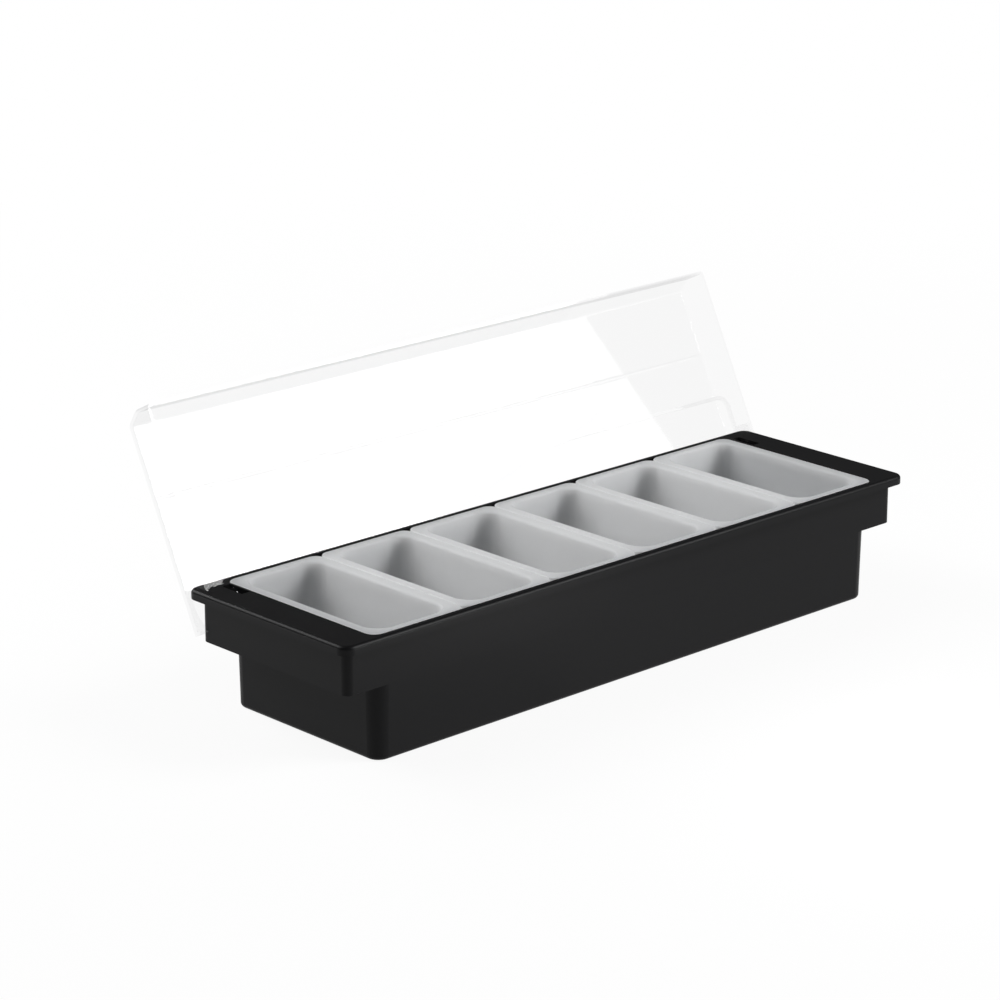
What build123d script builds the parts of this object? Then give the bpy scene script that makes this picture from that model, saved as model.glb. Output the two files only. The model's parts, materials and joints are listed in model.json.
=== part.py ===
"""Bar garnish tray: a black housing, six lift-out inserts and a clear lid hinged at the rear.

Sizes are in millimetres. X runs along the tray, Y to the rear and Z up. The origin is the
middle of the housing's flat underside. The lid is drawn open, the way it stands in use.
"""

import os
from math import atan, degrees, hypot

from build123d import *

# Overall size of the housing, over its rim
length = 500.0
depth = 148.6
height = 82.5

# Rim of the housing
rim_overhang = 6.4  # how far the rim stands out from the walls below it
rim_thickness = 6.0
rim_width = 4.9  # from the outer edge in to the seat of the inserts, front and rear
rim_corner_radius = 7.5
rim_edge_radius = 2.5
seat_drop = 2.3  # from the rim's top down to the seat of the inserts

# Walls of the housing
wall = 2.3
floor_thickness = 2.5
deck_thickness = 2.5  # top plate at both ends, and the ledge under the seat
end_ledge = 5.5  # ledge under the end inserts' flanges, beyond the well
ear_drop = 33.8  # from the rim's top down to the lower edge of the ears
ear_reach = 22.85  # how far each ear stands out from the body below it
ear_corner_radius = 5.0
body_corner_radius = 10.0
body_draw_in = 0.9  # how far each side leans in from the ears' lower edge to the base
base_edge_radius = 3.0

# Lift-out inserts
insert_count = 6
insert_gap = 0.4  # between neighbouring flanges, and from a flange to the housing
insert_clearance = 0.8  # from an insert's body to the walls of the housing
insert_lift = 8.0  # from the housing's floor up to an insert's underside
insert_wall = 1.8
insert_draft = 2.0
insert_corner_radius = 14.2
insert_flange_radius = 7.0
insert_base_radius = 6.0
insert_edge_radius = 0.8
insert_mouth_radius = 2.0

# Hinge between the housing and the lid
hinge_setback = 14.4  # pivot line in from the rear wall's outer face
hinge_drop = 3.5  # pivot line below the rim's top
open_angle = 116.3
hub_radius = 3.75
hub_width = 3.0
peg_radius = 2.0
peg_length = 2.6
peg_tip_chamfer = 0.5
bore_clearance = 0.05
bore_spare_depth = 0.8
hinge_gap = 0.4  # between a hub and the block beside it
block_width = 11.6
block_half_length = 5.5
block_drop = 6.0  # from the pivot line down to the block's underside
slot_ahead = 11.0  # from the pivot line to the front end of a hub's slot
slot_behind = 8.7  # from the pivot line to its rear end

# Lid
lid_wall = 2.0
lid_side_clearance = 0.4  # from the cheeks to the ears' end walls, with the lid open
lid_gap = 0.6  # over the rim, with the lid closed
lid_rise = 26.9  # top panel above the rim
lid_rear_inset = 3.4  # in from the rim's rear edge
lid_front_inset = 1.3  # in from the rim's front edge
facet_run = 7.2
facet_drop = 11.4
lid_turn_down = 3.0
lid_fold_radius = 4.0
lid_edge_radius = 3.0
notch_clearance = 1.4  # round cut-away in a cheek, past the rim's rear edge

# Slim frame and ribs of the lid
frame_thickness = 2.4
frame_reach = 37.5  # from the pivot line to the middle of the cross rail
frame_corner_radius = 8.0
heel_run = 12.0
heel_slope = 3.5
heel_entry = 1.5
heel_low = 1.9
web_near = 8.0
web_length = 7.0
bead_reach = 88.0  # from the lid's rear edge
bead_width = 3.0
bead_height = 0.7

# Levels and lengths that follow from the sizes above
wall_length = length - 2 * rim_overhang
wall_depth = depth - 2 * rim_overhang
body_length = wall_length - 2 * ear_reach
well_length = body_length - 2 * wall
well_depth = wall_depth - 2 * wall
seat_length = well_length + 2 * end_ledge
seat_depth = depth - 2 * rim_width
seat_corner_radius = insert_flange_radius + insert_gap
ear_underside = height - ear_drop
deck_underside = height - deck_thickness
ledge_underside = deck_underside - seat_drop
body_draft = degrees(atan(body_draw_in / ear_underside))

# Inserts, which share the seat evenly
insert_pitch = (seat_length - insert_gap) / insert_count
insert_height = height - floor_thickness - insert_lift
flange_width = insert_pitch - insert_gap
flange_depth = seat_depth - 2 * insert_gap
side_flange = end_ledge - insert_gap + insert_clearance
end_flange = (seat_depth - well_depth) / 2 - insert_gap + insert_clearance
box_width = flange_width - 2 * side_flange
box_depth = flange_depth - 2 * end_flange

# Hinge places
pivot_y = wall_depth / 2 - hinge_setback
pivot_z = height - hinge_drop
block_face = wall_length / 2 - block_width
hub_face = block_face - hinge_gap
arm_middle = hub_face - hub_width / 2
slot_inner_face = hub_face - hub_width - peg_length - hinge_gap
block_middle_offset = (block_width - wall / 2) / 2

# Housing
with BuildPart() as housing:
    # Body below the ears, leaning in towards the base
    with BuildSketch(Plane.XY.offset(ear_underside)):
        RectangleRounded(body_length, wall_depth, body_corner_radius)
    extrude(amount=-ear_underside, taper=body_draft)
    fillet(housing.faces().sort_by(Axis.Z)[0].edges(), radius=base_edge_radius)

    # Upper part, with an ear at each end
    with BuildSketch(Plane.XY.offset(ear_underside)):
        RectangleRounded(wall_length, wall_depth, ear_corner_radius)
    extrude(amount=ear_drop)

    # Rim all round
    with BuildSketch(Plane.XY.offset(height)):
        RectangleRounded(length, depth, rim_corner_radius)
    extrude(amount=-rim_thickness)
    fillet(housing.faces().sort_by(Axis.Z)[-1].edges(), radius=rim_edge_radius)

    # Seat sunk into the top, so that the inserts' flanges lie flush with it
    with BuildSketch(Plane.XY.offset(height)):
        RectangleRounded(seat_length, seat_depth, seat_corner_radius)
    extrude(amount=-seat_drop, mode=Mode.SUBTRACT)

    # Hollow ears, open below, which reach higher beyond the seat
    with BuildSketch(Plane.XY.offset(ear_underside)):
        RectangleRounded(wall_length - 2 * wall, well_depth, ear_corner_radius - wall)
        RectangleRounded(body_length, wall_depth, body_corner_radius, mode=Mode.SUBTRACT)
    extrude(amount=ledge_underside - ear_underside, mode=Mode.SUBTRACT)
    with BuildSketch(Plane.XY.offset(ledge_underside)):
        RectangleRounded(wall_length - 2 * wall, well_depth, ear_corner_radius - wall)
        Rectangle(seat_length + 2 * wall, wall_depth, mode=Mode.SUBTRACT)
    extrude(amount=seat_drop, mode=Mode.SUBTRACT)

    # Well for the inserts and the ice round them
    with BuildSketch(Plane.XY.offset(ear_underside)):
        RectangleRounded(well_length, well_depth, body_corner_radius - wall)
    extrude(amount=ear_drop, mode=Mode.SUBTRACT)
    with BuildSketch(Plane.XY.offset(ear_underside)):
        RectangleRounded(well_length, well_depth, body_corner_radius - wall)
    extrude(amount=floor_thickness - ear_underside, taper=body_draft, mode=Mode.SUBTRACT)
    well_floor = housing.faces().filter_by(Plane.XY).filter_by_position(
        Axis.Z, floor_thickness - wall, floor_thickness + wall
    )
    fillet(well_floor.edges(), radius=base_edge_radius)

    # Hinge blocks under the top, at the rear corners
    for side in (-1, 1):
        with BuildSketch(Plane.XY.offset(deck_underside + deck_thickness / 2)):
            with Locations((side * (block_face + block_middle_offset), pivot_y)):
                Rectangle(block_width - wall / 2, 2 * block_half_length)
        extrude(amount=deck_thickness / 2 - hinge_drop - block_drop)

    # Slots that let the lid's hubs down through the top
    with BuildSketch(Plane.XY.offset(height)):
        for side in (-1, 1):
            with Locations((side * (slot_inner_face + block_face) / 2, pivot_y - slot_ahead)):
                Rectangle(
                    block_face - slot_inner_face,
                    slot_ahead + slot_behind,
                    align=(Align.CENTER, Align.MIN),
                )
    extrude(amount=-(height - ledge_underside), mode=Mode.SUBTRACT)

    # Bores for the lid's pegs
    for side in (-1, 1):
        with BuildSketch(Plane.YZ.offset(side * block_face)):
            with Locations((pivot_y, pivot_z)):
                Circle(peg_radius + bore_clearance)
        extrude(amount=side * (peg_length + bore_spare_depth - hinge_gap), mode=Mode.SUBTRACT)

# Inserts, from left to right
inserts = []
for number in range(insert_count):
    insert_x = (number - (insert_count - 1) / 2) * insert_pitch
    insert_plane = Plane((insert_x, 0, height))
    with BuildPart() as insert:
        # Tapered box
        with BuildSketch(insert_plane):
            RectangleRounded(box_width, box_depth, insert_corner_radius)
        extrude(amount=-insert_height, taper=insert_draft)
        fillet(insert.faces().sort_by(Axis.Z)[0].edges(), radius=insert_base_radius)

        # Flange that rests in the housing's seat
        with BuildSketch(insert_plane):
            RectangleRounded(flange_width, flange_depth, insert_flange_radius)
        extrude(amount=-seat_drop)
        fillet(insert.faces().sort_by(Axis.Z)[-1].edges(), radius=insert_edge_radius)

        # Inside, with a rounded mouth and a rounded floor
        with BuildSketch(insert_plane):
            RectangleRounded(
                box_width - 2 * insert_wall,
                box_depth - 2 * insert_wall,
                insert_corner_radius - insert_wall,
            )
        extrude(amount=insert_wall - insert_height, taper=insert_draft, mode=Mode.SUBTRACT)
        inner_floor = insert.faces().filter_by(Plane.XY).sort_by(Axis.Z)[1]
        fillet(inner_floor.edges(), radius=insert_base_radius - insert_wall)
        mouth = insert.faces().sort_by(Axis.Z)[-1].inner_wires()[0]
        fillet(mouth.edges(), radius=insert_mouth_radius)
    insert.part.label = f"insert_{number + 1}"
    inserts.append(insert.part)

# Places on the lid while it is closed
lid_outer_face = wall_length / 2 + lid_side_clearance + lid_wall
lid_inner_face = lid_outer_face - lid_wall
lid_rear = depth / 2 - lid_rear_inset
lid_front = lid_front_inset - depth / 2
fold_y = lid_front + facet_run
lid_top = height + lid_rise
lid_underside = lid_top - lid_wall
facet_foot = lid_top - facet_drop
lid_low_edge = height + lid_gap
notch_radius = hypot(depth / 2 - pivot_y, hinge_drop) + notch_clearance
notch_flat = hinge_drop + lid_gap
rail_y = pivot_y - frame_reach
frame_top = lid_low_edge + frame_thickness

# Lid, modelled closed
with BuildPart() as lid_cover:
    # Outline of the cover: panel, sloping facet and front lip
    with BuildSketch(Plane.YZ) as outline:
        with BuildLine():
            Polyline(
                (lid_rear, lid_low_edge),
                (lid_rear, lid_top),
                (fold_y, lid_top),
                (lid_front, facet_foot),
                (lid_front, lid_low_edge),
                close=True,
            )
        make_face()
        folds = [
            outline.vertices().group_by(Axis.X)[0].sort_by(Axis.Y)[-1],
            outline.vertices().group_by(Axis.X)[1][0],
        ]
        fillet(folds, radius=lid_fold_radius)
    extrude(amount=lid_outer_face, both=True)

    # Rounded edges at both ends, and the inside hollowed from below and behind
    low_face = lid_cover.faces().sort_by(Axis.Z)[0]
    rear_face = lid_cover.faces().sort_by(Axis.Y)[-1]
    end_edges = lid_cover.faces().filter_by(Axis.X).edges()
    fillet(end_edges - low_face.edges() - rear_face.edges(), radius=lid_edge_radius)
    low_face = lid_cover.faces().sort_by(Axis.Z)[0]
    rear_face = lid_cover.faces().sort_by(Axis.Y)[-1]
    offset(amount=-lid_wall, openings=[low_face, rear_face])

    # Rounded cut-away in each cheek, which clears the rim's rear edge as the lid swings
    with BuildSketch(Plane.YZ):
        with Locations((pivot_y, pivot_z)):
            Circle(notch_radius)
            with PolarLocations(notch_flat + notch_radius, 1, start_angle=90 + open_angle):
                Rectangle(2 * notch_radius, 2 * notch_radius, mode=Mode.SUBTRACT)
    extrude(amount=lid_outer_face, both=True, mode=Mode.SUBTRACT)

    # Down-turned rear edge, which rests on the housing's rear wall when the lid is open
    with BuildSketch(Plane.YZ):
        with Locations((lid_rear, lid_underside)):
            Rectangle(lid_wall, lid_turn_down, align=(Align.MAX, Align.MAX))
    extrude(amount=lid_inner_face, both=True)

    # Shallow bead across the panel's inner side
    with BuildSketch(Plane.YZ):
        with Locations((lid_rear - bead_reach, lid_underside)):
            Ellipse(bead_width / 2, bead_height)
    extrude(amount=lid_inner_face, both=True)

    # Slim frame: a cross rail and two arms towards the hinge
    with BuildSketch(Plane.XY.offset(lid_low_edge)):
        with BuildLine():
            FilletPolyline(
                (-arm_middle, pivot_y - web_near),
                (-arm_middle, rail_y),
                (arm_middle, rail_y),
                (arm_middle, pivot_y - web_near),
                radius=frame_corner_radius,
            )
        trace(line_width=frame_thickness)
    extrude(amount=frame_thickness)

    for side in (-1, 1):
        # Web that ties the arm to the cheek
        with BuildSketch(Plane.XY.offset(lid_low_edge)):
            with Locations((side * (arm_middle + lid_outer_face - lid_wall / 2) / 2, pivot_y - web_near)):
                Rectangle(
                    lid_outer_face - lid_wall / 2 - arm_middle,
                    web_length,
                    align=(Align.CENTER, Align.MAX),
                )
        extrude(amount=frame_thickness)

        # Hub with its heel, which runs up into the arm
        with BuildSketch(Plane.YZ.offset(side * hub_face)):
            with BuildLine():
                Polyline(
                    (pivot_y, pivot_z),
                    (pivot_y - hub_radius, pivot_z + heel_low),
                    (pivot_y - heel_run, lid_low_edge),
                    (pivot_y - heel_run, frame_top),
                    (pivot_y - heel_run + heel_slope, frame_top),
                    (pivot_y - heel_entry, pivot_z + hub_radius - heel_entry),
                    close=True,
                )
            make_face()
            with Locations((pivot_y, pivot_z)):
                Circle(hub_radius)
        extrude(amount=-side * hub_width)

        # Peg that turns in the housing's bore
        with BuildSketch(Plane.YZ.offset(side * hub_face)):
            with Locations((pivot_y, pivot_z)):
                Circle(peg_radius)
        extrude(amount=side * peg_length)
        peg_tip = lid_cover.edges().filter_by(GeomType.CIRCLE).filter_by_position(
            Axis.X,
            side * (hub_face + peg_length) - peg_tip_chamfer,
            side * (hub_face + peg_length) + peg_tip_chamfer,
        )
        chamfer(peg_tip, length=peg_tip_chamfer)

# Lid swung open about the hinge
hinge_axis = Axis((0, pivot_y, pivot_z), (1, 0, 0))
lid = lid_cover.part.rotate(hinge_axis, -open_angle)

# Files, one for each separate piece
housing.part.label = "housing"
lid.label = "lid"
os.makedirs("parts", exist_ok=True)
export_step(housing.part, "parts/housing.step")
export_step(lid, "parts/lid.step")
for insert_part in inserts:
    export_step(insert_part, f"parts/{insert_part.label}.step")
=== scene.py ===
# %% [markdown]
# # Bar garnish tray
#
# A black moulded tray carries a row of milky lift-out inserts, and a clear cover stands open
# behind them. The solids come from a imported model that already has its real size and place, so
# this lesson adds only what a camera sees: plastics, light and a viewpoint.

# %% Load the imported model
import json
import math

import bpy
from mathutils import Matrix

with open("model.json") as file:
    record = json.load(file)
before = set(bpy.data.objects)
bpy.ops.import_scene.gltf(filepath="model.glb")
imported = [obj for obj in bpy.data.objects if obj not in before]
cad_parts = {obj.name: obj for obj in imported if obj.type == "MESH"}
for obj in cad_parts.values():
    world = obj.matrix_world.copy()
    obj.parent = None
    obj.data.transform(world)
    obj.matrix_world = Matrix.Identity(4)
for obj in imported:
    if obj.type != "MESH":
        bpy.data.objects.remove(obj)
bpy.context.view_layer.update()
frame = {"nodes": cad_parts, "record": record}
print("nodes:", sorted(frame["nodes"]))

# %% [markdown]
# ## Small helpers
#
# Colours are written as the hex values that a paint chart or a picture editor shows. Blender
# computes with linear light, so one function turns the first into the second. Another adds a
# shader node, sets what is passed to it and links its inputs, which keeps each material below to
# a few readable lines. A link may come from a node, which stands for its first output. The inputs
# of Math and Mix Shader nodes share their names, so they are given by number: input 0 of a Mix
# Shader is the share of its second shader, and inputs 1 and 2 are the two shaders.


# %% Colour and node helpers
def linear(hex_colour):
    """Turns an sRGB hex colour such as "#808080" into the linear RGBA that Blender wants."""
    channels = [int(hex_colour[i : i + 2], 16) / 255 for i in (1, 3, 5)]
    return [c / 12.92 if c <= 0.04045 else ((c + 0.055) / 1.055) ** 2.4 for c in channels] + [1.0]


def add_node(owner, kind, values=None, links=None, **settings):
    """Adds a node to a material or world, with its settings, its input values and its links."""
    node = owner.node_tree.nodes.new(kind)
    for name, value in settings.items():
        setattr(node, name, value)
    for name, value in (values or {}).items():
        node.inputs[name].default_value = value
    for name, source in (links or {}).items():
        output = source.outputs[0] if isinstance(source, bpy.types.Node) else source
        owner.node_tree.links.new(output, node.inputs[name])
    return node


def new_material(name):
    """Makes a material with an empty node tree."""
    material = bpy.data.materials.new(name)
    material.use_nodes = True
    material.node_tree.nodes.clear()
    return material


print("middle grey in linear light:", [round(c, 4) for c in linear("#808080")])

# %% [markdown]
# ## Black ABS, moulded with a satin grain
#
# The tray is injection moulded in black ABS. The steel of such a mould is spark-eroded, which
# leaves a fine leathery grain on the plastic: no mirror image, only a broad grey sheen. Real
# grain of this kind is about 0.3 mm across. It is drawn at 0.9 mm, because anything finer
# would vanish between the pixels, and it changes the normal only a little. A second, much
# larger pattern lets the roughness wander, as it does where the melt cooled unevenly. Polished
# ABS has an IOR of 1.53. The grain swallows part of the glancing reflections, so the IOR and
# the specular level are lowered until the top face stays as dark as it is in the picture.

# %% Black ABS
MM = 0.001
GRAIN_SIZE = 0.9 * MM
GRAIN_DEPTH = 0.05 * MM
GRAIN_STRENGTH = 0.12
FLOW_SIZE = 60 * MM
LEAST_ROUGHNESS = 0.33
MOST_ROUGHNESS = 0.42
ABS_IOR = 1.3
ABS_SPECULAR_LEVEL = 0.22

black_abs = new_material("Black ABS, satin moulded grain")
place = add_node(black_abs, "ShaderNodeTexCoord")
grain = add_node(
    black_abs,
    "ShaderNodeTexNoise",
    values={"Scale": 1 / GRAIN_SIZE, "Detail": 2.0, "Roughness": 0.5},
    links={"Vector": place.outputs["Object"]},
)
relief = add_node(
    black_abs,
    "ShaderNodeBump",
    values={"Strength": GRAIN_STRENGTH, "Distance": GRAIN_DEPTH},
    links={"Height": grain.outputs["Fac"]},
)
flow = add_node(
    black_abs,
    "ShaderNodeTexNoise",
    values={"Scale": 1 / FLOW_SIZE, "Detail": 1.0},
    links={"Vector": place.outputs["Object"]},
)
sheen_spread = add_node(
    black_abs,
    "ShaderNodeMapRange",
    values={"To Min": LEAST_ROUGHNESS, "To Max": MOST_ROUGHNESS},
    links={"Value": flow.outputs["Fac"]},
)
satin = add_node(
    black_abs,
    "ShaderNodeBsdfPrincipled",
    values={
        "Base Color": linear("#131314"),
        "IOR": ABS_IOR,
        "Specular IOR Level": ABS_SPECULAR_LEVEL,
    },
    links={"Roughness": sheen_spread, "Normal": relief},
)
add_node(black_abs, "ShaderNodeOutputMaterial", links={"Surface": satin})
print("made:", black_abs.name)

# %% [markdown]
# ## Milky polypropylene
#
# The inserts are thin-walled natural polypropylene. A wall of 1.8 mm turns part of the light back
# and lets the rest through, spread in all directions. So a wall with light behind it glows, and
# the last insert looks darker where only black plastic is behind it. Subsurface scattering can't
# do this here, because light that has passed one wall no longer gets through the next. A
# Diffuse and a Translucent shader, mixed by the share that passes, do it for any number of walls.
# The mould is polished and the plastic waxy, so a broad gloss lies over it, by Fresnel. It is
# left off the backs of the faces, where a ray is already inside the wall. Its IOR is below
# polypropylene's 1.49, because the walls show hardly any reflection in the picture.


# %% Milky polypropylene
PASSED_SHARE = 0.55
WAXY_ROUGHNESS = 0.35
WAXY_IOR = 1.3


def glossy_coat(material, under, roughness, ior, left_off):
    """Lays a Fresnel share of gloss over a shader, and leaves it off where left_off is 1."""
    gloss = add_node(material, "ShaderNodeBsdfGlossy", values={"Roughness": roughness})
    glance = add_node(material, "ShaderNodeFresnel", values={"IOR": ior})
    share = add_node(
        material,
        "ShaderNodeMath",
        operation="SUBTRACT",
        use_clamp=True,
        links={0: glance, 1: left_off},
    )
    return add_node(material, "ShaderNodeMixShader", links={0: share, 1: under, 2: gloss})


milky_pp = new_material("Milky polypropylene, smooth moulded")
turned_back = add_node(milky_pp, "ShaderNodeBsdfDiffuse", values={"Color": linear("#f7f9fb")})
let_through = add_node(
    milky_pp, "ShaderNodeBsdfTranslucent", values={"Color": linear("#fbfaf9")}
)
wall = add_node(
    milky_pp,
    "ShaderNodeMixShader",
    values={0: PASSED_SHARE},
    links={1: turned_back, 2: let_through},
)
side = add_node(milky_pp, "ShaderNodeNewGeometry")
coated = glossy_coat(milky_pp, wall, WAXY_ROUGHNESS, WAXY_IOR, side.outputs["Backfacing"])
add_node(milky_pp, "ShaderNodeOutputMaterial", links={"Surface": coated})
print("made:", milky_pp.name)

# %% [markdown]
# ## Clear polycarbonate
#
# The cover is polished clear polycarbonate, 2 mm thick. Against a white room it almost
# disappears: what the eye finds are its folds, its cut edges and the slim frame. A glass shader
# would bend the view twice in every wall, and in a thin even sheet the two bends cancel out. So
# the light goes straight through a Transparent shader here, and lamps shine through it too. A
# Fresnel share of polished gloss lies on the outer side of each face, and shadow rays, which
# look for the lamps, don't meet it. The plastic's slight grey comes from Volume Absorption: it
# hardly shows across 2 mm, and draws a fine line where the view runs along a wall. The Fresnel
# IOR is below the plastic's 1.585, because the cover has to stay as faint as it is in the
# picture.

# %% Clear polycarbonate
POLISHED_ROUGHNESS = 0.02
POLISHED_IOR = 1.35
GREY_DENSITY = 22.0

clear_pc = new_material("Clear polycarbonate, polished")
passed = add_node(clear_pc, "ShaderNodeBsdfTransparent", values={"Color": linear("#fefefe")})
side = add_node(clear_pc, "ShaderNodeNewGeometry")
ray = add_node(clear_pc, "ShaderNodeLightPath")
inside_or_shadow = add_node(
    clear_pc,
    "ShaderNodeMath",
    operation="MAXIMUM",
    links={0: side.outputs["Backfacing"], 1: ray.outputs["Is Shadow Ray"]},
)
coated = glossy_coat(clear_pc, passed, POLISHED_ROUGHNESS, POLISHED_IOR, inside_or_shadow)
grey_depth = add_node(
    clear_pc,
    "ShaderNodeVolumeAbsorption",
    values={"Color": linear("#cccccd"), "Density": GREY_DENSITY},
)
add_node(clear_pc, "ShaderNodeOutputMaterial", links={"Surface": coated, "Volume": grey_depth})
print("made:", clear_pc.name)

# %% [markdown]
# ## Dress the solids
#
# Every solid already has the right shape, so each keeps its mesh and only gets its plastic. The
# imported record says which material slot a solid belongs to, and that decides the plastic here.

# %% Give each solid its plastic
PLASTICS = {
    "black_abs": black_abs,
    "white_polypropylene": milky_pp,
    "clear_polycarbonate": clear_pc,
}
for part in frame["record"]["subparts"]:
    solid = frame["nodes"][part["node"]]
    plastic = PLASTICS[part["material_slot"]]
    for slot in solid.material_slots:
        slot.material = plastic
    print(part["node"], "->", plastic.name)

# %% [markdown]
# ## A pale floor
#
# The picture shows the tray on pure white. The floor mixes two shaders. An ordinary matt white
# takes the tray's shadow and is all that diffuse light bounces off. A plain white glow is there
# only for the camera, for reflections and for looks through clear plastic, so it doesn't light
# the inserts. Near the tray the mix leaves some of the matt white, for a soft shadow, and further
# away it is all glow, so that the floor's end can't be told from the white room. A ray that a
# milky wall has spread counts as diffuse and as transmitted at once. It has to see the real
# light, so it is taken out of the rays that see the glow.


# %% Floor
FLOOR_HALF = 12.0
NEAR_GLOW = 0.9
SHADOW_REACH = 1.4


def seen_by(owner, *kinds):
    """Gives 1 for the named kinds of ray and for looks through clear plastic, else 0."""
    ray = add_node(owner, "ShaderNodeLightPath")
    seen = add_node(
        owner,
        "ShaderNodeMath",
        operation="SUBTRACT",
        use_clamp=True,
        links={0: ray.outputs["Is Transmission Ray"], 1: ray.outputs["Is Diffuse Ray"]},
    )
    for kind in kinds:
        seen = add_node(
            owner, "ShaderNodeMath", operation="MAXIMUM", links={0: seen, 1: ray.outputs[kind]}
        )
    return seen


corners = [(x * FLOOR_HALF, y * FLOOR_HALF, 0) for x, y in ((-1, -1), (1, -1), (1, 1), (-1, 1))]
floor_mesh = bpy.data.meshes.new("floor")
floor_mesh.from_pydata(corners, [], [(0, 1, 2, 3)])
floor = bpy.data.objects.new("floor", floor_mesh)
bpy.context.scene.collection.objects.link(floor)

pale_floor = new_material("Pale studio floor")
place = add_node(pale_floor, "ShaderNodeTexCoord")
away = add_node(
    pale_floor, "ShaderNodeVectorMath", operation="LENGTH", links={0: place.outputs["Object"]}
)
glow_share = add_node(
    pale_floor,
    "ShaderNodeMapRange",
    values={"From Max": SHADOW_REACH, "To Min": NEAR_GLOW, "To Max": 1.0},
    links={"Value": away.outputs["Value"]},
    interpolation_type="SMOOTHSTEP",
)
seen_glow_share = add_node(
    pale_floor,
    "ShaderNodeMath",
    operation="MULTIPLY",
    links={0: seen_by(pale_floor, "Is Camera Ray", "Is Glossy Ray"), 1: glow_share},
)
matt_white = add_node(pale_floor, "ShaderNodeBsdfDiffuse", values={"Color": linear("#f4f4f4")})
white_glow = add_node(pale_floor, "ShaderNodeEmission", values={"Strength": 1.0})
blend = add_node(
    pale_floor,
    "ShaderNodeMixShader",
    links={0: seen_glow_share, 1: matt_white, 2: white_glow},
)
add_node(pale_floor, "ShaderNodeOutputMaterial", links={"Surface": blend})
floor_mesh.materials.append(pale_floor)
print("floor half width:", FLOOR_HALF, "m")

# %% [markdown]
# ## White room
#
# The world is the studio around the tray. It adds a little light from all sides, and it is plain
# white to the camera and through the clear cover, by the floor's choice of rays. Reflections are
# left out of that choice: a white room mirrored in the satin plastic would turn the top face
# grey, and the picture has it nearly black.

# %% World
ROOM_LIGHT = 0.1

world = bpy.data.worlds.new("White studio room")
bpy.context.scene.world = world
world.use_nodes = True
world.node_tree.nodes.clear()
strength = add_node(
    world,
    "ShaderNodeMapRange",
    values={"To Min": ROOM_LIGHT, "To Max": 1.0},
    links={"Value": seen_by(world, "Is Camera Ray")},
)
room = add_node(
    world,
    "ShaderNodeBackground",
    values={"Color": linear("#ffffff")},
    links={"Strength": strength},
)
add_node(world, "ShaderNodeOutputWorld", links={"Surface": room})
print("room light:", ROOM_LIGHT)

# %% [markdown]
# ## Soft lamps
#
# Two soft boxes at the front right do most of the work. They shine over the front rim onto the
# rear walls of the inserts and through the walls between them, which leaves the rear right
# corners dark. A third behind the tray and a fourth at its rear left brighten the flanges and
# the inner faces of the right-hand walls. Two weak strips stand just above the floor, where the
# front wall and the left end mirror them to the camera, which gives the satin plastic its sheen.
# All lamps are hidden from the camera, so none of them shows in a view from another side.

# %% Lamps
TRAY_MIDDLE = (0, 0, 0.05)
FRONT_WALL_SPOT = (-0.22, -0.07, 0.03)
LEFT_END_SPOT = (-0.25, 0, 0.03)

# Each row is a name, a place, an aim, a width and a height in metres, and a power in watts.
LAMPS = (
    ("front soft box", (0.9, -1.1, 1.1), TRAY_MIDDLE, 0.8, 0.8, 21),
    ("low front soft box", (0.9, -1.1, 0.6), TRAY_MIDDLE, 0.8, 0.6, 5.5),
    ("rear soft box", (-0.4, 1.5, 1.0), TRAY_MIDDLE, 1.0, 0.8, 16),
    ("left soft box", (-1.0, 0.9, 1.3), TRAY_MIDDLE, 1.0, 1.0, 13),
    ("front strip", (0.03, -0.36, 0.03), FRONT_WALL_SPOT, 0.2, 0.04, 0.35),
    ("end strip", (-0.55, 0.31, 0.03), LEFT_END_SPOT, 0.2, 0.04, 0.15),
)


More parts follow.
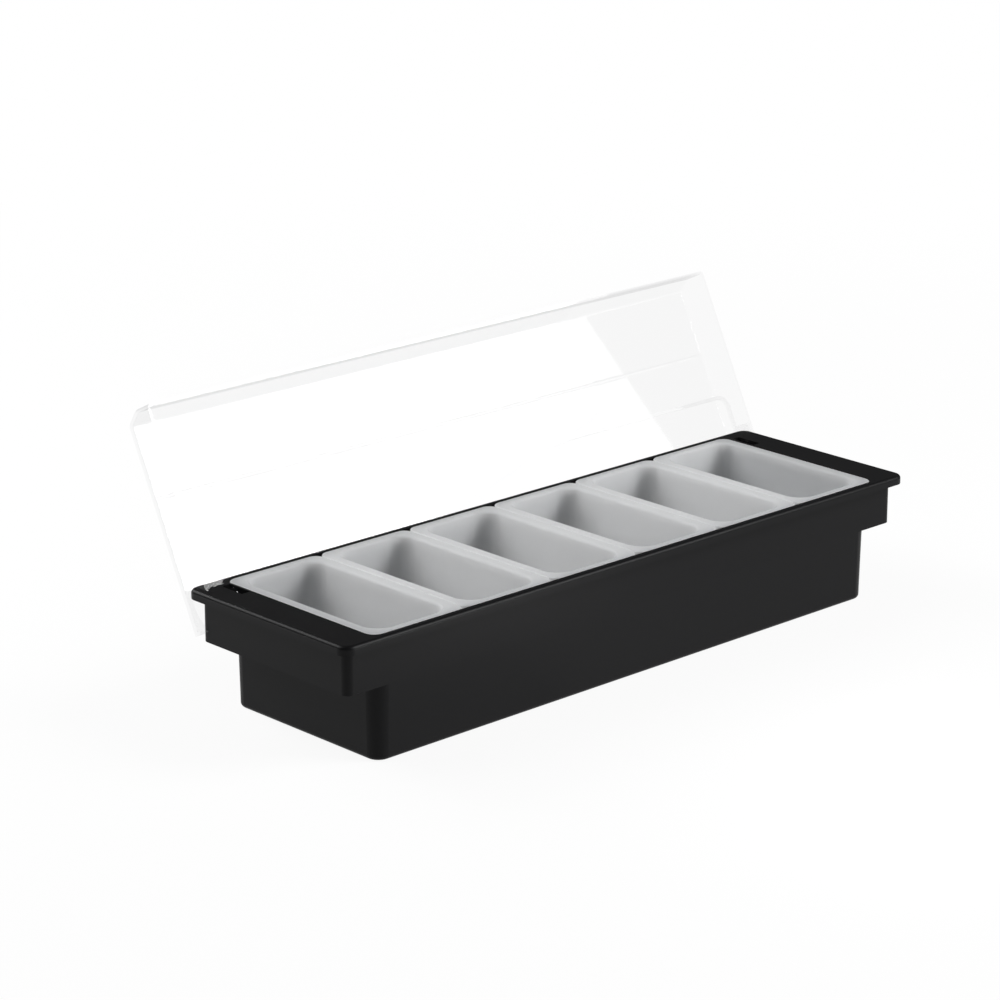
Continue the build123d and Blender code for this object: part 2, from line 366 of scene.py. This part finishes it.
def soft_box(name, place, aim, width, height, power):
    """Adds a rectangular area lamp at a place, turned towards a point."""
    lamp = bpy.data.lights.new(name, "AREA")
    lamp.shape = "RECTANGLE"
    lamp.size = width
    lamp.size_y = height
    lamp.energy = power
    holder = bpy.data.objects.new(name, lamp)
    bpy.context.scene.collection.objects.link(holder)
    holder.location = place
    holder.visible_camera = False
    direction = [a - p for a, p in zip(aim, place)]
    flat = math.hypot(direction[0], direction[1])
    holder.rotation_euler = (
        math.pi / 2 + math.atan2(direction[2], flat),
        0,
        math.atan2(direction[1], direction[0]) - math.pi / 2,
    )


for lamp_row in LAMPS:
    soft_box(*lamp_row)
print("lamps:", [lamp_row[0] for lamp_row in LAMPS])

# %% [markdown]
# ## Camera
#
# The viewpoint was worked out from the straight edges of the tray in the picture: a long lens
# from the front left, a little above the rim. Its small shift puts the optical axis where the
# picture has it.

# %% Camera
AZIMUTH = math.radians(-43.34)
ELEVATION = math.radians(17.45)
DISTANCE = 2.2246
TARGET = (-0.05422, 0.0, 0.12312)
SENSOR_WIDTH_MM = 36.0
FOCAL_LENGTH_MM = 127.10
SHIFT_X = -0.00208
SHIFT_Y = -0.01453
NEAREST = 0.05
FURTHEST = 60.0

lens = bpy.data.cameras.new("product camera")
lens.sensor_width = SENSOR_WIDTH_MM
lens.lens = FOCAL_LENGTH_MM
lens.shift_x = SHIFT_X
lens.shift_y = SHIFT_Y
lens.clip_start = NEAREST
lens.clip_end = FURTHEST
camera = bpy.data.objects.new("product camera", lens)
bpy.context.scene.collection.objects.link(camera)
towards_camera = (
    math.sin(AZIMUTH) * math.cos(ELEVATION),
    -math.cos(AZIMUTH) * math.cos(ELEVATION),
    math.sin(ELEVATION),
)
camera.location = [t + DISTANCE * d for t, d in zip(TARGET, towards_camera)]
camera.rotation_euler = (math.pi / 2 - ELEVATION, 0, AZIMUTH)
bpy.context.scene.camera = camera
bpy.context.scene.view_settings.view_transform = "Standard"
print("camera at:", [round(c, 4) for c in camera.location])
